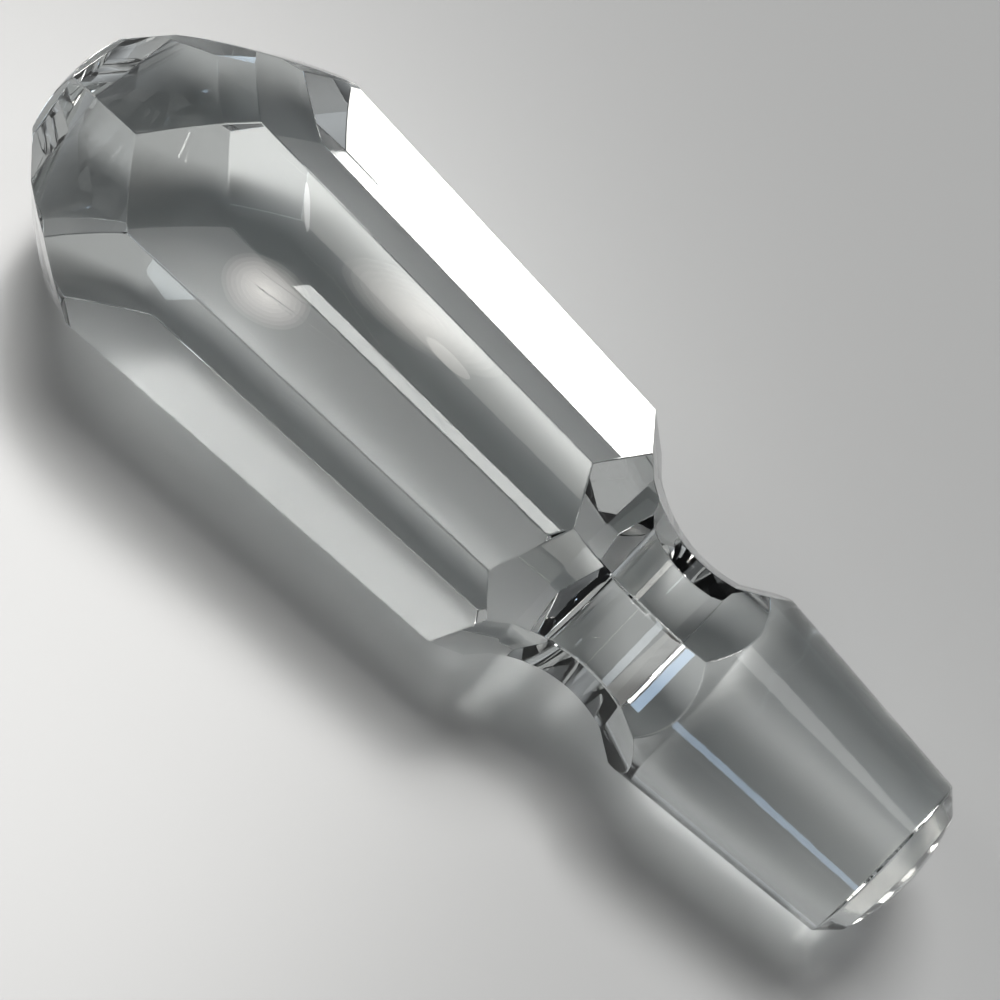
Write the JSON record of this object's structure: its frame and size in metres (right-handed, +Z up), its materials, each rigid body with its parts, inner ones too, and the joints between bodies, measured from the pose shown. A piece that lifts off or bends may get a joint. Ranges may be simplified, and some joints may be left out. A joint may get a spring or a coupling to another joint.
{
  "type": "glass decanter stopper",
  "caption": "Clear cut glass decanter stopper with a faceted tapering head, a fluted neck and a round ground plug.",
  "frame": {"origin": "on the surface the stopper lies on, under the middle of its length and width", "axes": "+X runs along the stopper from the crown of its head towards the end of its plug, +Z is up; the axis of the stopper dips by the panels' taper of about 3 degrees towards the plug"},
  "size_m": [0.1084, 0.035, 0.0339],
  "materials": {
    "glass": "polished cut facets, ground plug"
  },
  "bodies": {
    "root": {"stopper": "glass"}
  },
  "joints": []
}
